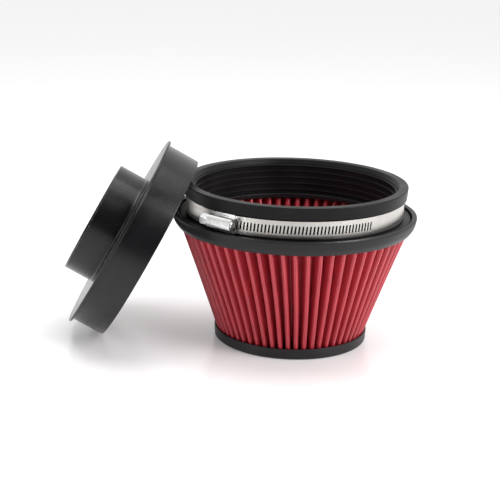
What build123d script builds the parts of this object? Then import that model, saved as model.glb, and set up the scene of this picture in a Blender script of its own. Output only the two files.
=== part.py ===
from build123d import *
from math import atan2, cos, degrees, pi, radians, sin
import os

os.makedirs("parts", exist_ok=True)

# Clamp-on cone air filter with a stepped reducer adapter.  Millimetres, +Z up.
# The filter stands on its closed end: the origin is the centre of that end's flat face,
# and the neck opens upwards.  The adapter leans against the neck's lip on the -X side.

# ---------------------------------------------------------------- driving dimensions
# rubber neck, for a 6 inch (152.4 mm) tube
lip_radius = 86.0
lip_top_z = 123.3
lip_bottom_z = 113.8
lip_taper = 0.8                # the lip's wall leans in by this towards its underside
seat_radius = 82.2             # where the clamp's band sits
bore_radius = 77.1
rib_radius = 76.3              # sealing ribs' crests, 0.1 mm over the adapter's sleeve
rib_pitch = 5.0
rib_count = 5
rib_crest_width = 1.2
lowest_rib_z = 98.5
foot_radius = 88.9
foot_top_z = 98.8
foot_bottom_z = 95.6

# upper ring, which joins the neck to the pleats
ring_radius = 93.7
ring_top_z = 100.2
ring_bottom_z = 89.6
ring_inner_radius = 72.5
seam_width = 1.0               # open groove round the neck's foot

# lower cap
cap_radius = 59.5
cap_height = 8.3

# pleated media: wire screen, cotton gauze, wire screen
pleat_count = 60
pleat_depth = 12.0
pleat_bottom_z = 4.0
pleat_top_z = 91.9
crest_bottom_radius = 56.6
crest_slope = 0.3617           # crest radius gained per millimetre of height
front_crest_azimuth = 270.0    # one of the pleats' crests faces -Y
crest_half_width = 1.65
valley_half_width = 0.5
corner_shift = 0.84            # sideways share of an inward offset at a fold's corner
screen_thickness = 0.3
gauze_thickness = 0.65
layer_gap = 0.12
bedding_gap = 0.1              # between the media's ends and the rubber they are bonded in

# worm-drive clamp, 12.7 mm band
band_width = 12.7
band_thickness = 0.55
band_inner_radius = 82.85      # fixed end, against the saddle
band_lap_radius = 83.45        # slotted end, lapped over the fixed end
clamp_mid_z = 106.55
housing_azimuth = 232.0        # from +X, anticlockwise seen from above
housing_half_length = 11.0
slots_per_turn = 195           # slots that a full circle of the band would hold
slot_length = 6.2
slot_width = 1.3
first_slot, last_slot = -8, 42  # counted from the slot under the screw's middle
running_gap = 0.05

# ------------------------------------------------------------------ reducer adapter
sleeve_radius = 76.2           # 152.4 mm sleeve for the neck
spigot_radius = 44.45          # 88.9 mm spigot for the hose
stop_rim_radius = 79.2
stop_rim_thickness = 2.0
sleeve_length = 27.5
spigot_length = 22.5
moulding_wall = 2.5
adapter_lean = 28.5            # rise of the adapter's axis above the floor, in degrees
adapter_mouth_x = -110.9


def polar(radius, azimuth):
    """A point of the XY plane at a radius and an azimuth in degrees."""
    return (radius * cos(radians(azimuth)), radius * sin(radians(azimuth)))


# ----------------------------------------------------------------------- neck flange
lip_edge_radius = 2.1          # rounding that leads the tube into the bore
rib_height = bore_radius - rib_radius

with BuildPart() as neck_flange:
    with BuildSketch(Plane.XZ):
        with BuildLine():
            Polyline(
                (bore_radius, foot_bottom_z),
                (foot_radius, foot_bottom_z),
                (foot_radius, foot_top_z),
                (seat_radius, foot_top_z),
                (seat_radius, lip_bottom_z),
                (lip_radius - lip_taper, lip_bottom_z),
                (lip_radius, lip_top_z),
                (bore_radius, lip_top_z),
                close=True,
            )
        make_face()
        outline = vertices()
        fillet(outline.group_by(Axis.Y)[-1].sort_by(Axis.X)[0], radius=lip_edge_radius)
        fillet(outline.group_by(Axis.Y)[-1].sort_by(Axis.X)[-1], radius=0.9)
        fillet(outline.sort_by(Axis.X)[-2:].sort_by(Axis.Y)[-1], radius=0.8)
    revolve(axis=Axis.Z)
    with BuildSketch(Plane.XZ):
        for step in range(rib_count):
            with Locations((bore_radius, lowest_rib_z + step * rib_pitch)):
                Trapezoid(
                    rib_crest_width + 2 * rib_height, rib_height, 45,
                    rotation=90, align=(Align.CENTER, Align.MIN),
                )
    revolve(axis=Axis.Z)
neck_flange.part.label = "neck_flange"
export_step(neck_flange.part, "parts/neck_flange.step")

# ------------------------------------------------------------------------ upper ring
ring_socket_z = foot_bottom_z - running_gap
skirt_inner_radius = crest_bottom_radius + crest_slope * (pleat_top_z - pleat_bottom_z) + 0.6
skirt_edge, skirt_flare = 0.7, 1.1
skirt_height, shoulder_depth = 4.0, 1.6
slab_bottom_z = pleat_top_z + bedding_gap

with BuildPart() as upper_ring:
    with BuildSketch(Plane.XZ):
        with BuildLine():
            Polyline(
                (ring_inner_radius, slab_bottom_z),
                (skirt_inner_radius, slab_bottom_z),
                (skirt_inner_radius, ring_bottom_z),
                (skirt_inner_radius + skirt_edge, ring_bottom_z),
                (ring_radius - skirt_flare, ring_bottom_z + skirt_height),
                (ring_radius, ring_top_z - shoulder_depth),
                (ring_radius, ring_top_z),
                (foot_radius + seam_width, ring_top_z),
                (foot_radius + seam_width, ring_socket_z),
                (ring_inner_radius, ring_socket_z),
                close=True,
            )
        make_face()
        outline = vertices()
        fillet(outline.group_by(Axis.Y)[-1].sort_by(Axis.X)[-1], radius=1.3)
        fillet(outline.group_by(Axis.Y)[-1].sort_by(Axis.X)[0], radius=0.5)
        fillet(outline.group_by(Axis.Y)[1], radius=2.5)
    revolve(axis=Axis.Z)
upper_ring.part.label = "upper_ring"
export_step(upper_ring.part, "parts/upper_ring.step")

# ------------------------------------------------------------------------- lower cap
stack_thickness = 2 * screen_thickness + gauze_thickness + 2 * layer_gap
cap_floor = pleat_bottom_z - bedding_gap
boss_radius = crest_bottom_radius - pleat_depth - stack_thickness - 0.6
boss_height = 7.0
socket_clearance = 0.25
socket_bottom_radius = crest_bottom_radius + socket_clearance
socket_top_radius = socket_bottom_radius + crest_slope * (cap_height - pleat_bottom_z)

with BuildPart() as lower_cap:
    with BuildSketch(Plane.XZ):
        with BuildLine():
            Polyline(
                (0, 0),
                (cap_radius - 0.4, 0),
                (cap_radius, cap_height),
                (socket_top_radius, cap_height),
                (socket_bottom_radius, cap_floor),
                (boss_radius, cap_floor),
                (boss_radius, boss_height),
                (0, boss_height),
                close=True,
            )
        make_face()
        fillet(vertices().group_by(Axis.Y)[0].sort_by(Axis.X)[-1], radius=1.5)
    revolve(axis=Axis.Z)
lower_cap.part.label = "lower_cap"
export_step(lower_cap.part, "parts/lower_cap.step")


# ---------------------------------------------------------------------- pleated media
def crest_radius_at(height):
    return crest_bottom_radius + crest_slope * (height - pleat_bottom_z)


def pleat_outline(height, inset):
    """Corners of one pleated surface, an inset inside the media's outermost surface."""
    half_pitch = 180 / pleat_count
    crest_radius = crest_radius_at(height)
    valley_radius = crest_radius - pleat_depth
    crest_half = degrees((crest_half_width - corner_shift * inset) / crest_radius)
    valley_half = degrees((valley_half_width + corner_shift * inset) / valley_radius)
    corners = []
    for pleat in range(pleat_count):
        azimuth = front_crest_azimuth + 2 * half_pitch * pleat
        corners += [
            polar(crest_radius - inset, azimuth - crest_half),
            polar(crest_radius - inset, azimuth + crest_half),
            polar(valley_radius - inset, azimuth + half_pitch - valley_half),
            polar(valley_radius - inset, azimuth + half_pitch + valley_half),
        ]
    return corners


def pleat_section(height, inset):
    """The region inside a pleated surface, at a height."""
    with BuildSketch(Plane.XY.offset(height)) as section:
        with BuildLine():
            Polyline(*pleat_outline(height, inset), close=True)
        make_face()
    return section.sketch.face()


layers = [
    ("outer_screen", screen_thickness),
    ("cotton_gauze", gauze_thickness),
    ("inner_screen", screen_thickness),
]
layer_inset = 0.0
for layer_name, thickness in layers:
    hollow_inset = layer_inset + thickness
    with BuildPart() as layer:
        loft([pleat_section(z, layer_inset) for z in (pleat_bottom_z, pleat_top_z)], ruled=True)
        loft(
            [pleat_section(z, hollow_inset) for z in (pleat_bottom_z - 1, pleat_top_z + 1)],
            ruled=True, mode=Mode.SUBTRACT,
        )
    layer.part.label = layer_name
    export_step(layer.part, f"parts/{layer_name}.step")
    layer_inset = hollow_inset + layer_gap

# ------------------------------------------------------------------------- seam clip
# a folded strip that pinches the media's two ends together at one inner fold
clip_wall = 0.35
clip_depth = 5.0
clip_half_width = valley_half_width + corner_shift * stack_thickness + 0.15
clip_bottom_z, clip_top_z = 9.0, 88.0

with BuildPart() as seam_clip:
    for height in (clip_bottom_z, clip_top_z):
        fold_azimuth = front_crest_azimuth + 180 / pleat_count
        fold_radius = crest_radius_at(height) - pleat_depth - stack_thickness - bedding_gap
        crest_offset = crest_radius_at(height) * sin(pi / pleat_count) - crest_half_width
        splay = clip_depth * (crest_offset - valley_half_width) / pleat_depth
        section = Plane(
            origin=(*polar(fold_radius, fold_azimuth), height),
            x_dir=(*polar(1, fold_azimuth), 0),
            z_dir=(0, 0, 1),
        )
        near, far = clip_half_width, clip_half_width + splay
        with BuildSketch(section):
            with BuildLine():
                Polyline(
                    (-clip_wall, -near - clip_wall),
                    (clip_depth, -far - clip_wall),
                    (clip_depth, -far),
                    (0, -near),
                    (0, near),
                    (clip_depth, far),
                    (clip_depth, far + clip_wall),
                    (-clip_wall, near + clip_wall),
                    close=True,
                )
            make_face()
    loft(ruled=True)
seam_clip.part.label = "seam_clip"
export_step(seam_clip.part, "parts/seam_clip.step")

# ------------------------------------------------------------------------ clamp band
# one strip: its fixed end lies inside, it runs clockwise round the neck, steps out by
# its own thickness and laps over the fixed end, under the screw and out to its tail
slot_step = 360 / slots_per_turn
fixed_end_azimuth = housing_azimuth + 6.5
ramp_end_azimuth = housing_azimuth + 12
ramp_start_azimuth = ramp_end_azimuth + 18
tail_azimuth = 214.0
band_bottom_z = clamp_mid_z - band_width / 2
band_outer_radius = band_lap_radius + band_thickness
thread_radius = 4.2
thread_engagement = 0.42
screw_radius_from_axis = band_outer_radius - thread_engagement + thread_radius
worm_pitch = (band_outer_radius - thread_engagement / 2) * radians(slot_step)
slot_lean = degrees(atan2(worm_pitch, 2 * pi * (thread_radius - thread_engagement / 2)))


def lapped_arcs(extra_radius):
    """One face of the strip, from its fixed end to its tail."""
    inner = band_inner_radius + extra_radius
    outer = band_lap_radius + extra_radius
    ramp_start, ramp_end = ramp_start_azimuth - 360, ramp_end_azimuth - 360
    tail = tail_azimuth - 360
    runs = [
        (inner, inner, fixed_end_azimuth, ramp_start),
        (inner, outer, ramp_start, ramp_end),
        (outer, outer, ramp_end, tail),
    ]
    for start_radius, end_radius, start, end in runs:
        ThreePointArc(
            polar(start_radius, start),
            polar((start_radius + end_radius) / 2, (start + end) / 2),
            polar(end_radius, end),
        )


cutter_depth = 4.0
cutter_origin = (band_lap_radius - cutter_depth / 2, 0, clamp_mid_z)

with BuildPart() as slot_cutter:
    with BuildSketch(Plane(origin=cutter_origin, x_dir=(0, 1, 0), z_dir=(1, 0, 0))):
        SlotOverall(slot_length, slot_width, rotation=90 - slot_lean)
    extrude(amount=cutter_depth)

with BuildPart() as clamp_band:
    with BuildSketch(Plane.XY.offset(band_bottom_z)):
        with BuildLine():
            lapped_arcs(0)
            lapped_arcs(band_thickness)
            Line(
                polar(band_inner_radius, fixed_end_azimuth),
                polar(band_inner_radius + band_thickness, fixed_end_azimuth),
            )
            Line(polar(band_lap_radius, tail_azimuth), polar(band_outer_radius, tail_azimuth))
        make_face()
    extrude(amount=band_width)
    tail_middle = (*polar(band_outer_radius, tail_azimuth), clamp_mid_z)
    short_edges = edges().filter_by(lambda edge: abs(edge.length - band_thickness) < running_gap)
    fillet(short_edges.sort_by_distance(tail_middle)[:2], radius=3)
    slot_total = last_slot - first_slot + 1
    with PolarLocations(
        0, slot_total,
        start_angle=housing_azimuth + first_slot * slot_step,
        angular_range=(slot_total - 1) * slot_step,
        endpoint=True,
    ):
        add(slot_cutter.part, mode=Mode.SUBTRACT)
clamp_band.part.label = "clamp_band"
export_step(clamp_band.part, "parts/clamp_band.step")

# --------------------------------------------------------------------- clamp housing
# the screw's axis is tangent to the neck; along it, minus is the head's end
screw_origin = Vector(*polar(screw_radius_from_axis, housing_azimuth), clamp_mid_z)
screw_direction = Vector(*polar(1, housing_azimuth + 90), 0)
shell_radius = 5.2
shell_bore_radius = 4.4
foot_thickness = 0.6
foot_inner_radius = band_outer_radius + running_gap
end_wall = 0.8
neck_hole_radius = 2.5


def screw_section(along):
    """A plane square to the screw's axis: local X is up, local Y points away from the neck."""
    return Plane(origin=screw_origin + screw_direction * along, x_dir=(0, 0, 1), z_dir=screw_direction)


def band_sector(inner_radius, outer_radius, half_angle):
    """A flat ring sector centred on the housing's azimuth."""
    low, high = housing_azimuth - half_angle, housing_azimuth + half_angle
    with BuildSketch() as sector:
        with BuildLine():
            for radius in (inner_radius, outer_radius):
                ThreePointArc(polar(radius, low), polar(radius, housing_azimuth), polar(radius, high))
            for azimuth in (low, high):
                Line(polar(inner_radius, azimuth), polar(outer_radius, azimuth))
        make_face()
    return sector.sketch


housing_half_angle = degrees(housing_half_length / band_outer_radius)

with BuildPart() as clamp_housing:
    with BuildSketch(screw_section(-housing_half_length)):
        Circle(shell_radius)
        Rectangle(2 * shell_radius, shell_radius, align=(Align.CENTER, Align.MAX))
    extrude(amount=2 * housing_half_length)
    with BuildSketch(Plane.XY.offset(clamp_mid_z - band_width / 2)):
        add(band_sector(foot_inner_radius, foot_inner_radius + foot_thickness, housing_half_angle))
    extrude(amount=band_width)
    with BuildSketch(screw_section(-housing_half_length)):
        Circle(neck_hole_radius)
    extrude(amount=2 * housing_half_length, mode=Mode.SUBTRACT)
    with BuildSketch(screw_section(-housing_half_length + end_wall)):
        Circle(shell_bore_radius)
        Rectangle(2 * shell_bore_radius, shell_radius, align=(Align.CENTER, Align.MAX))
    extrude(amount=2 * housing_half_length, mode=Mode.SUBTRACT)
    with BuildSketch(Plane.XY.offset(band_bottom_z - 1)):
        Circle(foot_inner_radius)
    extrude(amount=band_width + 2, mode=Mode.SUBTRACT)
clamp_housing.part.label = "clamp_housing"
export_step(clamp_housing.part, "parts/clamp_housing.step")

# ---------------------------------------------------------------------- clamp saddle
# a tray under the band whose sides fold up round both edges and over the housing's feet
saddle_thickness = 0.5
saddle_base_radius = seat_radius + running_gap
saddle_half_height = band_width / 2 + 0.1 + saddle_thickness
saddle_lip_radius = foot_inner_radius + foot_thickness + running_gap
saddle_half_angle = housing_half_angle - 1.2
saddle_lip_reach = 1.15

with BuildPart() as clamp_saddle:
    with BuildSketch(Plane.XY.offset(clamp_mid_z - saddle_half_height)):
        add(band_sector(saddle_base_radius, saddle_lip_radius + saddle_thickness, saddle_half_angle))
    extrude(amount=2 * saddle_half_height)
    inside_half_height = saddle_half_height - saddle_thickness
    with BuildSketch(Plane.XY.offset(clamp_mid_z - inside_half_height)):
        add(band_sector(saddle_base_radius + saddle_thickness, saddle_lip_radius, saddle_half_angle + 1))
    extrude(amount=2 * inside_half_height, mode=Mode.SUBTRACT)
    opening_half_height = saddle_half_height - saddle_thickness - saddle_lip_reach
    with BuildSketch(Plane.XY.offset(clamp_mid_z - opening_half_height)):
        add(band_sector(saddle_lip_radius - 1, saddle_lip_radius + 1, saddle_half_angle + 1))
    extrude(amount=2 * opening_half_height, mode=Mode.SUBTRACT)
clamp_saddle.part.label = "clamp_saddle"
export_step(clamp_saddle.part, "parts/clamp_saddle.step")

# ----------------------------------------------------------------------- clamp screw
core_radius = 3.35
thread_crest_width = 0.6
thread_root_width = 1.3
thread_turns = 6
thread_root = -0.3             # the thread's flanks start this far inside the core
thread_start = screw_origin - screw_direction * (thread_turns / 2 * worm_pitch)
towards_neck = -Vector(*polar(1, housing_azimuth), 0)
hex_across_flats = 8.0
hex_corner_radius = hex_across_flats / 3 ** 0.5
hex_length = 7.5
dome_length, dome_flat_radius = 1.9, 2.8
back_chamfer, back_radius = 1.8, 4.3   # the head's back clears the band's tail
driver_slot_width, driver_slot_depth = 1.2, 2.2
head_gap = 0.4
head_back = -housing_half_length - head_gap
neck_radius = neck_hole_radius - 0.3
collar_radius = shell_bore_radius - 0.25
collar_width = 1.2
collar_front = -housing_half_length + end_wall + 0.15
tip_end = housing_half_length - 0.6
tip_rounding = 1.8

with BuildPart() as worm_thread:
    with BuildLine() as thread_path:
        Helix(worm_pitch, thread_turns * worm_pitch, core_radius)
    with BuildSketch(Plane(thread_path.line @ 0, x_dir=(1, 0, 0), z_dir=thread_path.line % 0)):
        with BuildLine():
            Polyline(
                (thread_root, -thread_root_width / 2),
                (thread_radius - core_radius, -thread_crest_width / 2),
                (thread_radius - core_radius, thread_crest_width / 2),
                (thread_root, thread_root_width / 2),
                close=True,
            )
        make_face()
    sweep(path=thread_path.line, is_frenet=True)

with BuildPart() as clamp_screw:
    # shank, thrust collar, core and rounded tip, turned about the screw's axis
    with BuildSketch(Plane(origin=screw_origin, x_dir=screw_direction, z_dir=(0, 0, 1))):
        with BuildLine():
            Polyline(
                (head_back, 0),
                (head_back, neck_radius),
                (collar_front, neck_radius),
                (collar_front, collar_radius),
                (collar_front + collar_width, collar_radius),
                (collar_front + collar_width, core_radius),
                (tip_end, core_radius),
                (tip_end, 0),
                close=True,
            )
        make_face()
        fillet(vertices().group_by(Axis.X)[-1].sort_by(Axis.Y)[-1], radius=tip_rounding)
    revolve(axis=Axis(screw_origin, screw_direction))
    # hexagon head, turned down at both ends, with a driver slot
    with BuildSketch(screw_section(head_back - hex_length)):
        RegularPolygon(hex_across_flats / 2, 6, major_radius=False)
    extrude(amount=hex_length)
    for end, length, end_radius in (
        (head_back - hex_length, dome_length, dome_flat_radius),
        (head_back, -back_chamfer, back_radius),
    ):
        with BuildSketch(Plane(origin=screw_origin, x_dir=screw_direction, z_dir=(0, 0, 1))):
            with BuildLine():
                Polyline(
                    (end, end_radius),
                    (end, hex_across_flats),
                    (end + length, hex_across_flats),
                    (end + length, hex_corner_radius),
                    close=True,
                )
            make_face()
        revolve(axis=Axis(screw_origin, screw_direction), mode=Mode.SUBTRACT)
    with BuildSketch(screw_section(head_back - hex_length)):
        Rectangle(2 * hex_across_flats, driver_slot_width)
    extrude(amount=driver_slot_depth, mode=Mode.SUBTRACT)
    # the thread's crests meet the band's slots on the side facing the neck
    with Locations(Plane(thread_start, x_dir=towards_neck, z_dir=screw_direction)):
        add(worm_thread.part)
clamp_screw.part.label = "clamp_screw"
export_step(clamp_screw.part, "parts/clamp_screw.step")

# ------------------------------------------------------------------- reducer adapter
# one moulding: a sleeve for the neck, a stop rim, a flat web and a spigot for the hose
lean = radians(adapter_lean)
mouth_centre = (adapter_mouth_x, 0, sleeve_radius * cos(lean))
adapter_axis = Vector(-cos(lean), 0, sin(lean))
sleeve_inner = sleeve_radius - moulding_wall
spigot_inner = spigot_radius - moulding_wall
adapter_length = sleeve_length + spigot_length

with BuildPart() as reducer_adapter:
    with BuildSketch(Plane(origin=mouth_centre, x_dir=(0, 1, 0), z_dir=(sin(lean), 0, cos(lean)))):
        with BuildLine():
            Polyline(
                (sleeve_inner, 0),
                (sleeve_radius, 0),
                (sleeve_radius, sleeve_length - stop_rim_thickness),
                (stop_rim_radius, sleeve_length - stop_rim_thickness),
                (stop_rim_radius, sleeve_length),
                (spigot_radius, sleeve_length),
                (spigot_radius, adapter_length),
                (spigot_inner, adapter_length),
                (spigot_inner, sleeve_length - moulding_wall),
                (sleeve_inner, sleeve_length - moulding_wall),
                close=True,
            )
        make_face()
    revolve(axis=Axis(mouth_centre, adapter_axis))
reducer_adapter.part.label = "reducer_adapter"
export_step(reducer_adapter.part, "parts/reducer_adapter.step")
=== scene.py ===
import math
import random

import bmesh
import bpy
import numpy as np
from mathutils import Matrix, Vector


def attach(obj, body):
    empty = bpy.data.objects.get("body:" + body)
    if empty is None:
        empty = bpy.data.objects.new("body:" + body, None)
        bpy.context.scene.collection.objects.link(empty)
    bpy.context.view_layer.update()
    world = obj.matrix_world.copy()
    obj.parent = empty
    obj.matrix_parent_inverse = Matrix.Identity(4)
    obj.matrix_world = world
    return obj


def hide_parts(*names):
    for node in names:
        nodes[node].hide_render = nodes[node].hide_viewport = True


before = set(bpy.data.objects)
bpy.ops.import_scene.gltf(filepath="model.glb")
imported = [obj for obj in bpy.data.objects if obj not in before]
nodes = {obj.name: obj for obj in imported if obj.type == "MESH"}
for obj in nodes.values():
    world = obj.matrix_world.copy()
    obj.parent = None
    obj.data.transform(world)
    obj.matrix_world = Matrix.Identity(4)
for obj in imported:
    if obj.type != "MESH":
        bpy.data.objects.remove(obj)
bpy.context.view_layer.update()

MM = 0.001

# ------------------------------------------------------------------ sizes, millimetres
# pleats: the same cone as the CAD screens, with rounded folds that drift a little sideways
PLEATS = 60
PLEAT_DEPTH = 12.0
PLEAT_BOTTOM, PLEAT_TOP = 4.0, 91.9
CREST_BOTTOM_RADIUS, CREST_SLOPE = 56.6, 0.3617
TWIST_PER_MM, FRONT_FOLD_Z = -0.048, 77.6
CREST_ROUND, VALLEY_ROUND = 1.65, 0.5
SHEET_ROWS = 18
SHEET_LAYOUT = "sheet"         # name of the UV map that lays a sheet out flat
FRONT_AZIMUTH = 270.0          # the first crest faces -Y at FRONT_FOLD_Z
# angles round each rounded fold, and shares along each flank, that get a point
CREST_BENDS = (-90, -60, -30, 0, 30, 60, 90)
VALLEY_BENDS = (-90, -45, 0, 45, 90)
FLANK_PARTS = (0.33, 0.67)
# how far each layer's two faces lie inside the pleats' outermost surface
LAYERS = {
    "outer_screen": (0.0, 0.3),
    "cotton_gauze": (0.42, 1.07),
    "inner_screen": (1.19, 1.49),
}

# unevenness of the folds: sideways shift and wave in degrees, sinking in millimetres
RANDOM_SEED = 11
CREST_SHIFT_SPREAD = 0.11
CREST_WAVE_LEAST, CREST_WAVE_MOST = 0.03, 0.14
CREST_SINK_MOST = 0.35

# seam clip: half width at the fold, wall, reach along the fold's flanks and gap to the media
CLIP_HALF_WIDTH, CLIP_WALL, CLIP_DEPTH, CLIP_GAP = 2.12, 0.35, 5.0, 0.1
CLIP_BOTTOM, CLIP_TOP, CLIP_ROWS = 9.0, 88.0, 9

# neck, ring and cap
LIP_RADIUS, LIP_TOP, LIP_BOTTOM = 86.0, 123.3, 113.8
LIP_FOOT_RADIUS = 85.2
SEAT_RADIUS, BORE_RADIUS, RIB_RADIUS = 82.2, 77.1, 76.3
FOOT_RADIUS, FOOT_TOP, FOOT_BOTTOM = 88.9, 98.8, 95.6
LOWEST_RIB, RIB_PITCH, RIBS = 98.5, 5.0, 5
RIB_HALF_CREST, RIB_HALF_ROOT = 0.25, 0.6
LEAD_RADIUS, LEAD_DEPTH = 79.2, 3.4
RING_BORE_RADIUS, RING_RADIUS = 72.5, 93.7
RING_BOTTOM, RING_SHOULDER, RING_TOP = 92.0, 98.6, 100.2
RING_BELLY_RADIUS, RING_BELLY_Z = 92.6, 93.6
SOCKET_RADIUS, SOCKET_FLOOR = 89.9, 95.55
SKIRT_RADIUS, SKIRT_EDGE_RADIUS, SKIRT_BOTTOM = 88.99, 89.69, 89.6
CAP_RADIUS, CAP_RIM_RADIUS, CAP_RIM_TOP = 59.1, 59.5, 8.3
CAP_WALL_RADIUS, CAP_SEAT_RADIUS, CAP_SEAT_Z = 58.4, 56.85, 3.9
CAP_PLUG_RADIUS, CAP_PLUG_TOP = 42.51, 7.0

# adapter, in its own frame: radius, and distance along its axis from the mouth
ADAPTER_LEAN = math.radians(28.5)
MOUTH_X, SLEEVE_RADIUS = -110.9, 76.2
SLEEVE_LENGTH, ADAPTER_LENGTH = 27.5, 50.0
STOP_RIM_RADIUS, STOP_RIM_THICKNESS = 79.2, 2.0
SPIGOT_RADIUS, MOULDING_WALL = 44.45, 2.5

# fineness of the turned bodies, and the angles in degrees above which an edge stays sharp
SEGMENTS = 256
CORNER_STEPS = 6
SHARP_EDGE, SHARP_FOLD = 35, 60
CORNER_SHARE = 0.45            # most of a side that one rounded corner may use
CORNER_HOLD = 1.08             # where a flat ends, as a multiple of the corner's reach


# ------------------------------------------------------------------ mesh helpers
def new_object(name, points_mm, faces):
    """A mesh object from points in millimetres, joined where points coincide."""
    mesh = bpy.data.meshes.new(name)
    mesh.from_pydata([tuple(c * MM for c in p) for p in points_mm], [], faces)
    work = bmesh.new()
    work.from_mesh(mesh)
    bmesh.ops.remove_doubles(work, verts=work.verts, dist=1e-7)
    bmesh.ops.recalc_face_normals(work, faces=work.faces)
    work.to_mesh(mesh)
    work.free()
    mesh.shade_smooth()
    mesh.set_sharp_from_angle(angle=math.radians(SHARP_EDGE))
    made = bpy.data.objects.new(name, mesh)
    bpy.context.scene.collection.objects.link(made)
    return made


def rounded(corners):
    """A closed outline from (radius, height, rounding) corners, with short flats kept flat."""
    outline = []
    count = len(corners)
    for index, (r, z, rounding) in enumerate(corners):
        here = Vector((r, z))
        before = Vector(corners[index - 1][:2]) - here
        after = Vector(corners[(index + 1) % count][:2]) - here
        if rounding == 0:
            outline.append(tuple(here))
            continue
        reach = min(rounding, CORNER_SHARE * before.length, CORNER_SHARE * after.length)
        hold = CORNER_HOLD * reach
        start, end = before.normalized(), after.normalized()
        outline.append(tuple(here + start * hold))
        for step in range(CORNER_STEPS + 1):
            t = step / CORNER_STEPS
            outline.append(tuple(here + start * reach * (1 - t) ** 2 + end * reach * t ** 2))
        outline.append(tuple(here + end * hold))
    return outline


def lathe(name, corners, place=Matrix.Identity(4)):
    """A turned body: the rounded outline of the corners, spun about the frame's Z axis."""
    outline = rounded(corners)
    points, faces = [], []
    for segment in range(SEGMENTS):
        angle = 2 * math.pi * segment / SEGMENTS
        for r, z in outline:
            points.append(tuple(place @ Vector((r * math.cos(angle), r * math.sin(angle), z))))
    size = len(outline)
    for segment in range(SEGMENTS):
        here, there = segment * size, (segment + 1) % SEGMENTS * size
        for index in range(size):
            along = (index + 1) % size
            if outline[index][0] == 0 and outline[along][0] == 0:
                continue
            faces.append((here + index, there + index, there + along, here + along))
    return new_object(name, points, faces)


# ------------------------------------------------------------------ node materials
NOISE_SPAN = (0.3, 0.7)        # noise seldom leaves this span


def node_material(name, colour, roughness, metallic=0.0, coat=0.0, specular=0.5):
    """A Principled material, its node tree and its shader node."""
    material = bpy.data.materials.new(name)
    material.use_nodes = True
    tree = material.node_tree
    shader = tree.nodes["Principled BSDF"]
    shader.inputs["Base Color"].default_value = (*colour, 1)
    shader.inputs["Roughness"].default_value = roughness
    shader.inputs["Metallic"].default_value = metallic
    shader.inputs["Coat Weight"].default_value = coat
    shader.inputs["Specular IOR Level"].default_value = specular
    return material, tree, shader


def noise(tree, scale, stretch=(1, 1, 1), detail=4.0):
    """Noise over the object's own coordinates, stretched along each axis."""
    coordinates = tree.nodes.new("ShaderNodeTexCoord")
    mapping = tree.nodes.new("ShaderNodeMapping")
    mapping.inputs["Scale"].default_value = stretch
    texture = tree.nodes.new("ShaderNodeTexNoise")
    texture.inputs["Scale"].default_value = scale
    texture.inputs["Detail"].default_value = detail
    tree.links.new(coordinates.outputs["Object"], mapping.inputs["Vector"])
    tree.links.new(mapping.outputs["Vector"], texture.inputs["Vector"])
    return texture.outputs["Fac"]


def map_range(tree, value, source, target, interpolation="LINEAR"):
    """Maps a value from the source range onto the target range."""
    ramp = tree.nodes.new("ShaderNodeMapRange")
    ramp.interpolation_type = interpolation
    ramp.inputs["From Min"].default_value, ramp.inputs["From Max"].default_value = source
    ramp.inputs["To Min"].default_value, ramp.inputs["To Max"].default_value = target
    tree.links.new(value, ramp.inputs["Value"])
    return ramp.outputs["Result"]


def spread(tree, value, low, high):
    """Maps noise onto the range low to high."""
    return map_range(tree, value, NOISE_SPAN, (low, high))


def arithmetic(tree, operation, *values):
    """A math node over values that are numbers or other nodes' outputs."""
    node = tree.nodes.new("ShaderNodeMath")
    node.operation = operation
    for socket, value in zip(node.inputs, values):
        if isinstance(value, (int, float)):
            socket.default_value = value
        else:
            tree.links.new(value, socket)
    return node.outputs[0]


def bump(tree, shader, height, distance_mm, strength):
    """Raises the shading by a 0 to 1 height over a distance."""
    node = tree.nodes.new("ShaderNodeBump")
    node.inputs["Strength"].default_value = strength
    node.inputs["Distance"].default_value = distance_mm * MM
    tree.links.new(height, node.inputs["Height"])
    tree.links.new(node.outputs["Normal"], shader.inputs["Normal"])


def two_colours(tree, shader, value, first, second):
    """Colours the shader from the first colour at 0 to the second at 1."""
    mix = tree.nodes.new("ShaderNodeMix")
    mix.data_type = "RGBA"
    mix.inputs["A"].default_value = (*first, 1)
    mix.inputs["B"].default_value = (*second, 1)
    tree.links.new(value, mix.inputs["Factor"])
    tree.links.new(mix.outputs["Result"], shader.inputs["Base Color"])


def rubber(name, dark, light, roughness, specular):
    """Moulded rubber: a fine grain with faint dusty patches."""
    material, tree, shader = node_material(name, dark, roughness, specular=specular)
    patches = noise(tree, 38, detail=6)
    two_colours(tree, shader, spread(tree, patches, 0, 1), dark, light)
    rough = spread(tree, patches, roughness - 0.06, roughness + 0.08)
    tree.links.new(rough, shader.inputs["Roughness"])
    bump(tree, shader, noise(tree, 1900, detail=3), 0.05, 0.5)
    return material


def plastic(name, dark, light, roughness):
    """Glossy moulded plastic: a faint ripple and fine surface wear."""
    material, tree, shader = node_material(name, dark, roughness, coat=0.1, specular=0.35)
    shader.inputs["Coat Roughness"].default_value = 0.12
    patches = noise(tree, 60, detail=5)
    two_colours(tree, shader, spread(tree, patches, 0, 1), dark, light)
    rough = spread(tree, patches, roughness - 0.05, roughness + 0.06)
    tree.links.new(rough, shader.inputs["Roughness"])
    bump(tree, shader, noise(tree, 160, detail=2), 0.06, 0.35)
    return material


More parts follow.
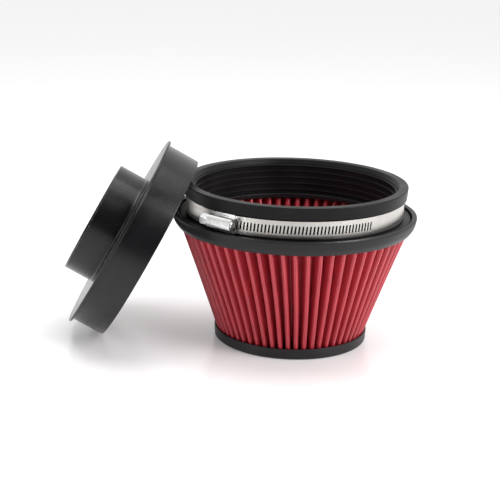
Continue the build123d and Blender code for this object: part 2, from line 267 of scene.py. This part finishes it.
def steel(name, colour, roughness, stretch, grain_scale=900):
    """Steel with a fine grain, stretched into lines if it is rolled, and slight colour patches."""
    material, tree, shader = node_material(name, colour, roughness, metallic=1.0)
    grain = noise(tree, grain_scale, stretch, detail=5)
    rough = spread(tree, grain, roughness - 0.07, roughness + 0.1)
    tree.links.new(rough, shader.inputs["Roughness"])
    darker = tuple(0.82 * channel for channel in colour)
    two_colours(tree, shader, spread(tree, noise(tree, 45), 0, 1), darker, colour)
    bump(tree, shader, grain, 0.01, 0.3)
    return material


def wire_wave(tree, coordinate, pitch_mm):
    """1 on the middle of each wire and falling to 0 between wires."""
    phase = arithmetic(tree, "MULTIPLY", coordinate, 2 * math.pi / pitch_mm)
    return arithmetic(tree, "MULTIPLY_ADD", arithmetic(tree, "COSINE", phase), 0.5, 0.5)


def woven_wire(name, wire, painted_gap_shade, pitch_mm):
    """A coated woven screen: wires both ways over the developed sheet, and painted shade between
    them, the gauze's red darkened as if shaded by the wires.
    """
    wire_roughness, gap_roughness = 0.34, 0.75
    material, tree, shader = node_material(name, wire, wire_roughness, coat=0.25)
    shader.inputs["Coat Roughness"].default_value = 0.25
    layout = tree.nodes.new("ShaderNodeUVMap")
    layout.uv_map = SHEET_LAYOUT
    split = tree.nodes.new("ShaderNodeSeparateXYZ")
    tree.links.new(layout.outputs["UV"], split.inputs["Vector"])
    upright = wire_wave(tree, split.outputs["X"], pitch_mm)
    level = wire_wave(tree, split.outputs["Y"], pitch_mm)
    nearest = arithmetic(tree, "MAXIMUM", upright, level)
    wires = map_range(tree, nearest, (0.25, 0.6), (0, 1), "SMOOTHSTEP")
    patches = spread(tree, noise(tree, 70, detail=5), 0.82, 1.0)
    # between the wires the colour is painted shade, darker than the gauze's own red
    two_colours(tree, shader, arithmetic(tree, "MULTIPLY", wires, patches), painted_gap_shade, wire)
    rough = map_range(tree, wires, (0, 1), (gap_roughness, wire_roughness))
    tree.links.new(rough, shader.inputs["Roughness"])
    bump(tree, shader, wires, 0.25, 0.8)
    return material


def cotton(name, deep, pale):
    """Matt oiled gauze with a fuzzy surface."""
    material, tree, shader = node_material(name, deep, 0.9)
    two_colours(tree, shader, spread(tree, noise(tree, 500, detail=8), 0, 1), deep, pale)
    bump(tree, shader, noise(tree, 2600, detail=6), 0.15, 0.8)
    return material


neck_rubber = rubber("neck_rubber", (0.008, 0.008, 0.009), (0.013, 0.013, 0.014), 0.40, 0.12)
ring_rubber = rubber("ring_rubber", (0.009, 0.009, 0.010), (0.014, 0.014, 0.015), 0.40, 0.26)
cap_rubber = rubber("cap_rubber", (0.007, 0.007, 0.008), (0.012, 0.012, 0.013), 0.42, 0.36)
adapter_plastic = plastic("adapter_plastic", (0.004, 0.004, 0.005), (0.008, 0.008, 0.009), 0.26)
band_steel = steel("band_steel", (0.62, 0.60, 0.57), 0.31, (0.04, 0.04, 3.0))
shell_steel = steel("shell_steel", (0.80, 0.80, 0.79), 0.27, (1, 1, 1), 1500)
screw_steel = steel("screw_steel", (0.76, 0.76, 0.76), 0.24, (1, 1, 1), 1500)
clip_steel = steel("clip_steel", (0.55, 0.55, 0.56), 0.35, (1, 1, 0.1))
# the third colour is painted shade: the gauze seen between the wires, darkened
red_screen = woven_wire("red_screen", (0.63, 0.039, 0.060), (0.13, 0.006, 0.012), 1.4)
red_cotton = cotton("red_cotton", (0.20, 0.015, 0.030), (0.34, 0.05, 0.07))

# ------------------------------------------------------------------ pleated sheets
shape_random = random.Random(RANDOM_SEED)
crest_shift = [shape_random.gauss(0, CREST_SHIFT_SPREAD) for _ in range(PLEATS)]
crest_wave = [shape_random.uniform(CREST_WAVE_LEAST, CREST_WAVE_MOST) for _ in range(PLEATS)]
crest_phase = [shape_random.uniform(0, 2 * math.pi) for _ in range(PLEATS)]
crest_sink = [shape_random.uniform(0, CREST_SINK_MOST) for _ in range(PLEATS)]


def crest_radius_at(height):
    """Radius of the cone that the crests touch at a height."""
    return CREST_BOTTOM_RADIUS + CREST_SLOPE * (height - PLEAT_BOTTOM)


def share_and_looseness(height):
    """How far up the media a height is, and how freely the folds lie there, both 0 to 1."""
    share = (height - PLEAT_BOTTOM) / (PLEAT_TOP - PLEAT_BOTTOM)
    return share, math.sin(math.pi * share)


def crest_azimuths(height):
    """Azimuth of every crest at a height, in degrees."""
    share, loose = share_and_looseness(height)
    front = FRONT_AZIMUTH + TWIST_PER_MM * (height - FRONT_FOLD_Z)
    return [
        front + 360 / PLEATS * n + crest_shift[n]
        + crest_wave[n] * loose * math.sin(2 * math.pi * share + crest_phase[n])
        for n in range(PLEATS)
    ]


def fold_outline(height):
    """The media's outermost surface at a height, as an array of points, folds rounded."""
    crest_radius = crest_radius_at(height)
    _, loose = share_and_looseness(height)
    crests = crest_azimuths(height)
    points = []

    def place(radius, azimuth, offset):
        turn = math.radians(azimuth) + offset / radius
        points.append((radius * math.cos(turn), radius * math.sin(turn)))

    for n in range(PLEATS):
        tip = crest_radius - crest_sink[n] * loose
        root = crest_radius - PLEAT_DEPTH
        following = crests[(n + 1) % PLEATS] + (360 if n == PLEATS - 1 else 0)
        valley = (crests[n] + following) / 2
        for degrees in CREST_BENDS:
            bend = math.radians(degrees)
            sink = CREST_ROUND * (1 - math.cos(bend))
            place(tip - sink, crests[n], CREST_ROUND * math.sin(bend))
        low, high = root + VALLEY_ROUND, tip - CREST_ROUND
        valley_turn = math.radians(valley - crests[n])
        for part in FLANK_PARTS:
            radius = high + (low - high) * part
            far = valley_turn * radius - VALLEY_ROUND
            place(radius, crests[n], CREST_ROUND + (far - CREST_ROUND) * part)
        for degrees in VALLEY_BENDS:
            bend = math.radians(degrees)
            rise = VALLEY_ROUND * (1 - math.cos(bend))
            place(root + rise, valley, VALLEY_ROUND * math.sin(bend))
        back_turn = math.radians(following - valley)
        for part in reversed(FLANK_PARTS):
            radius = high + (low - high) * part
            far = back_turn * radius - VALLEY_ROUND
            place(radius, following, -(CREST_ROUND + (far - CREST_ROUND) * part))
    return np.array(points)


def pushed_in(outline, inset):
    """The outline moved an inset along its inward normals."""
    along = np.roll(outline, -1, 0) - np.roll(outline, 1, 0)
    inward = np.stack([-along[:, 1], along[:, 0]], 1)
    inward /= np.linalg.norm(inward, axis=1)[:, None]
    return outline + inward * inset


def pleated_sheet(name, inner_inset, outer_inset):
    """One closed layer of the media between two insets, with its developed layout as UVs."""
    heights = np.linspace(PLEAT_BOTTOM, PLEAT_TOP, SHEET_ROWS)
    columns = len(fold_outline(PLEAT_BOTTOM))
    points, spans = [], []
    for inset in (inner_inset, outer_inset):
        for height in heights:
            outline = fold_outline(height)
            if inset == inner_inset:
                steps = np.linalg.norm(np.roll(outline, -1, 0) - outline, axis=1)
                spans.append(np.concatenate([[0], np.cumsum(steps)]))
            moved = pushed_in(outline, inset)
            points += [(x, y, height) for x, y in moved]
    middle = np.mean(spans, 0)
    side = columns * SHEET_ROWS
    faces, layout = [], []
    for column in range(columns):
        after = (column + 1) % columns
        for row in range(SHEET_ROWS - 1):
            a, b = row * columns + column, row * columns + after
            c, d = b + columns, a + columns
            uv = [(middle[column], heights[row]), (middle[column + 1], heights[row]),
                  (middle[column + 1], heights[row + 1]), (middle[column], heights[row + 1])]
            faces.append((a, b, c, d))
            layout += uv
            faces.append((side + d, side + c, side + b, side + a))
            layout += uv[::-1]
        for row, flip in ((0, True), (SHEET_ROWS - 1, False)):
            a, b = row * columns + column, row * columns + after
            rim = (a, b, side + b, side + a)
            faces.append(rim[::-1] if flip else rim)
            layout += [(middle[column], heights[row])] * 4
    mesh = bpy.data.meshes.new(name)
    mesh.from_pydata([tuple(c * MM for c in p) for p in points], [], faces)
    uv_layer = mesh.uv_layers.new(name=SHEET_LAYOUT)
    uv_layer.data.foreach_set("uv", np.array(layout, np.float32).ravel())
    mesh.shade_smooth()
    mesh.set_sharp_from_angle(angle=math.radians(SHARP_FOLD))
    made = bpy.data.objects.new(name, mesh)
    bpy.context.scene.collection.objects.link(made)
    return made


def folded_clip(name):
    """The strip that pinches the media's two ends together, along the first inner fold."""
    points, faces = [], []
    heights = np.linspace(CLIP_BOTTOM, CLIP_TOP, CLIP_ROWS)
    for height in heights:
        crest_radius = crest_radius_at(height)
        low, high = crest_radius - PLEAT_DEPTH + VALLEY_ROUND, crest_radius - CREST_ROUND
        splay = (math.radians(180 / PLEATS) * high - CREST_ROUND - VALLEY_ROUND) / (high - low)
        far = CLIP_HALF_WIDTH + CLIP_DEPTH * splay
        azimuth = math.radians(sum(crest_azimuths(height)[:2]) / 2)
        start = crest_radius - PLEAT_DEPTH - LAYERS["inner_screen"][1] - CLIP_GAP
        half_section = [
            (0, CLIP_HALF_WIDTH),
            (CLIP_DEPTH, far),
            (CLIP_DEPTH, far + CLIP_WALL),
            (-CLIP_WALL, CLIP_HALF_WIDTH + CLIP_WALL),
        ]
        section = [(outward, -sideways) for outward, sideways in reversed(half_section)]
        section += half_section
        for outward, sideways in section:
            radius = start + outward
            points.append((
                radius * math.cos(azimuth) - sideways * math.sin(azimuth),
                radius * math.sin(azimuth) + sideways * math.cos(azimuth),
                height,
            ))
    corners = len(section)
    for row in range(CLIP_ROWS - 1):
        for corner in range(corners):
            a, b = row * corners + corner, row * corners + (corner + 1) % corners
            faces.append((a, b, b + corners, a + corners))
    top = (CLIP_ROWS - 1) * corners
    for end in ((0, 1, 2, 3), (0, 3, 4, 7), (4, 5, 6, 7)):
        faces.append(end[::-1])
        faces.append(tuple(top + corner for corner in end))
    return new_object(name, points, faces)


def dress(piece, material, body, node):
    """Gives a piece its material and its body, and lets it stand for a CAD node."""
    piece.data.materials.append(material)
    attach(piece, body)
    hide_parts(node)


sheet_looks = {
    "outer_screen": (red_screen, "red_screen"),
    "cotton_gauze": (red_cotton, "cotton"),
    "inner_screen": (red_screen, "red_screen"),
}
for layer, (near, far) in LAYERS.items():
    look, slot_name = sheet_looks[layer]
    dress(pleated_sheet("shown_" + layer, near, far), look, "filter", layer)
dress(folded_clip("shown_seam_clip"), clip_steel, "filter", "seam_clip")

# ------------------------------------------------------------------ neck, ring and cap
# every corner is a radius, a height and a rounding
neck_corners = [
    (BORE_RADIUS, FOOT_BOTTOM, 0.4),
    (FOOT_RADIUS, FOOT_BOTTOM, 0.5),
    (FOOT_RADIUS, FOOT_TOP, 1.0),
    (SEAT_RADIUS, FOOT_TOP, 0.9),
    (SEAT_RADIUS, LIP_BOTTOM, 0.6),
    (LIP_FOOT_RADIUS, LIP_BOTTOM, 0.9),
    (LIP_RADIUS, LIP_TOP, 1.0),
    (LEAD_RADIUS, LIP_TOP, 0.6),
    (BORE_RADIUS, LIP_TOP - LEAD_DEPTH, 1.0),
]
for number in reversed(range(RIBS)):
    middle_z = LOWEST_RIB + number * RIB_PITCH
    neck_corners += [
        (BORE_RADIUS, middle_z + RIB_HALF_ROOT, 0.15),
        (RIB_RADIUS, middle_z + RIB_HALF_CREST, 0.15),
        (RIB_RADIUS, middle_z - RIB_HALF_CREST, 0.15),
        (BORE_RADIUS, middle_z - RIB_HALF_ROOT, 0.15),
    ]
ring_corners = [
    (RING_BORE_RADIUS, RING_BOTTOM, 0.4),
    (SKIRT_RADIUS, RING_BOTTOM, 0.3),
    (SKIRT_RADIUS, SKIRT_BOTTOM, 0.25),
    (SKIRT_EDGE_RADIUS, SKIRT_BOTTOM, 0.3),
    (RING_BELLY_RADIUS, RING_BELLY_Z, 2.5),
    (RING_RADIUS, RING_SHOULDER, 1.5),
    (RING_RADIUS, RING_TOP, 1.3),
    (SOCKET_RADIUS, RING_TOP, 0.5),
    (SOCKET_RADIUS, SOCKET_FLOOR, 0.3),
    (RING_BORE_RADIUS, SOCKET_FLOOR, 0.4),
]
cap_corners = [
    (0, 0, 0),
    (CAP_RADIUS, 0, 1.5),
    (CAP_RIM_RADIUS, CAP_RIM_TOP, 0.7),
    (CAP_WALL_RADIUS, CAP_RIM_TOP, 0.3),
    (CAP_SEAT_RADIUS, CAP_SEAT_Z, 0.3),
    (CAP_PLUG_RADIUS, CAP_SEAT_Z, 0.5),
    (CAP_PLUG_RADIUS, CAP_PLUG_TOP, 1.0),
    (0, CAP_PLUG_TOP, 0),
]
for node, corners, look, slot_name in (
    ("neck_flange", neck_corners, neck_rubber, "neck_rubber"),
    ("upper_ring", ring_corners, ring_rubber, "ring_rubber"),
    ("lower_cap", cap_corners, cap_rubber, "cap_rubber"),
):
    dress(lathe("shown_" + node, corners), look, "filter", node)

# ------------------------------------------------------------------ adapter
lean_cos, lean_sin = math.cos(ADAPTER_LEAN), math.sin(ADAPTER_LEAN)
adapter_place = Matrix((
    (0, -lean_sin, -lean_cos, MOUTH_X),
    (1, 0, 0, 0),
    (0, -lean_cos, lean_sin, SLEEVE_RADIUS * lean_cos),
    (0, 0, 0, 1),
))
sleeve_inner = SLEEVE_RADIUS - MOULDING_WALL
spigot_inner = SPIGOT_RADIUS - MOULDING_WALL
rim_start = SLEEVE_LENGTH - STOP_RIM_THICKNESS
web_inner_face = SLEEVE_LENGTH - MOULDING_WALL
adapter_corners = [
    (sleeve_inner, 0, 0.6),
    (SLEEVE_RADIUS, 0, 0.8),
    (SLEEVE_RADIUS, rim_start, 0.5),
    (STOP_RIM_RADIUS, rim_start, 0.7),
    (STOP_RIM_RADIUS, SLEEVE_LENGTH, 0.9),
    (SPIGOT_RADIUS, SLEEVE_LENGTH, 1.6),
    (SPIGOT_RADIUS, ADAPTER_LENGTH, 0.35),
    (spigot_inner, ADAPTER_LENGTH, 0.8),
    (spigot_inner, web_inner_face, 1.0),
    (sleeve_inner, web_inner_face, 1.2),
]
dress(
    lathe("shown_reducer_adapter", adapter_corners, adapter_place),
    adapter_plastic, "adapter", "reducer_adapter",
)

# ------------------------------------------------------------------ clamp
for node, look in {
    "clamp_band": band_steel,
    "clamp_housing": shell_steel,
    "clamp_saddle": shell_steel,
    "clamp_screw": screw_steel,
}.items():
    nodes[node].data.materials.clear()
    nodes[node].data.materials.append(look)

# ------------------------------------------------------------------ floor, light, camera
# metres from here on, as Blender counts
FLOOR_HALF, FLOOR_DROP = 6.0, 0.0002
FLOOR_GLOW = 0.14              # keeps the shadows on the floor pale
floor_mesh = bpy.data.meshes.new("floor")
floor_mesh.from_pydata(
    [(x * FLOOR_HALF, y * FLOOR_HALF, -FLOOR_DROP) for x, y in ((-1, -1), (1, -1), (1, 1), (-1, 1))],
    [], [(0, 1, 2, 3)],
)
floor = bpy.data.objects.new("floor", floor_mesh)
bpy.context.scene.collection.objects.link(floor)
floor_look, _, floor_shader = node_material("floor", (0.90, 0.89, 0.895), 0.22, specular=0.4)
floor_shader.inputs["Emission Color"].default_value = (1, 0.985, 0.99, 1)
floor_shader.inputs["Emission Strength"].default_value = FLOOR_GLOW
floor_mesh.materials.append(floor_look)

# white surroundings, bright behind the object and dim behind the camera
world = bpy.data.worlds.new("studio")
bpy.context.scene.world = world
world.use_nodes = True
world_tree = world.node_tree
background = world_tree.nodes["Background"]
background.inputs["Color"].default_value = (1, 1, 1, 1)
direction = world_tree.nodes.new("ShaderNodeTexCoord")
parts = world_tree.nodes.new("ShaderNodeSeparateXYZ")
world_tree.links.new(direction.outputs["Generated"], parts.inputs["Vector"])
brightness = map_range(world_tree, parts.outputs["Y"], (-0.5, 0.3), (0.12, 1.0))
world_tree.links.new(brightness, background.inputs["Strength"])


def soft_light(name, place, target, size, watts):
    """A rectangular lamp that faces a target."""
    data = bpy.data.lights.new(name, "AREA")
    data.shape = "RECTANGLE"
    data.size, data.size_y = size
    data.energy = watts
    lamp = bpy.data.objects.new(name, data)
    lamp.location = place
    lamp.rotation_mode = "QUATERNION"
    lamp.rotation_quaternion = (Vector(target) - Vector(place)).to_track_quat("-Z", "Y")
    bpy.context.scene.collection.objects.link(lamp)


soft_light("key", (0.95, -0.55, 0.75), (0, 0, 0.06), (0.7, 0.9), 14)
soft_light("fill", (-1.1, -0.7, 0.55), (0, 0, 0.06), (0.5, 1.0), 5)
soft_light("top", (0.0, 0.15, 1.3), (0, 0, 0.05), (1.1, 0.8), 9)

# a long lens from in front and above, rolled a little
CAMERA_LENS, SENSOR_WIDTH = 94.28, 36.0
CAMERA_PITCH, CAMERA_ROLL = math.radians(16.08), math.radians(1.72)
CAMERA_PLACE = Vector((-0.0332, -0.9749, 0.3483))
ahead = Vector((0, math.cos(CAMERA_PITCH), -math.sin(CAMERA_PITCH)))
level_right = Vector((1, 0, 0))
level_up = Vector((0, math.sin(CAMERA_PITCH), math.cos(CAMERA_PITCH)))
right = math.cos(CAMERA_ROLL) * level_right + math.sin(CAMERA_ROLL) * level_up
up = -math.sin(CAMERA_ROLL) * level_right + math.cos(CAMERA_ROLL) * level_up
camera_data = bpy.data.cameras.new("camera")
camera_data.lens, camera_data.sensor_width = CAMERA_LENS, SENSOR_WIDTH
camera = bpy.data.objects.new("camera", camera_data)
camera.matrix_world = Matrix((
    (right.x, up.x, -ahead.x, CAMERA_PLACE.x),
    (right.y, up.y, -ahead.y, CAMERA_PLACE.y),
    (right.z, up.z, -ahead.z, CAMERA_PLACE.z),
    (0, 0, 0, 1),
))
bpy.context.scene.collection.objects.link(camera)
bpy.context.scene.camera = camera
bpy.context.scene.view_settings.view_transform = "Standard"
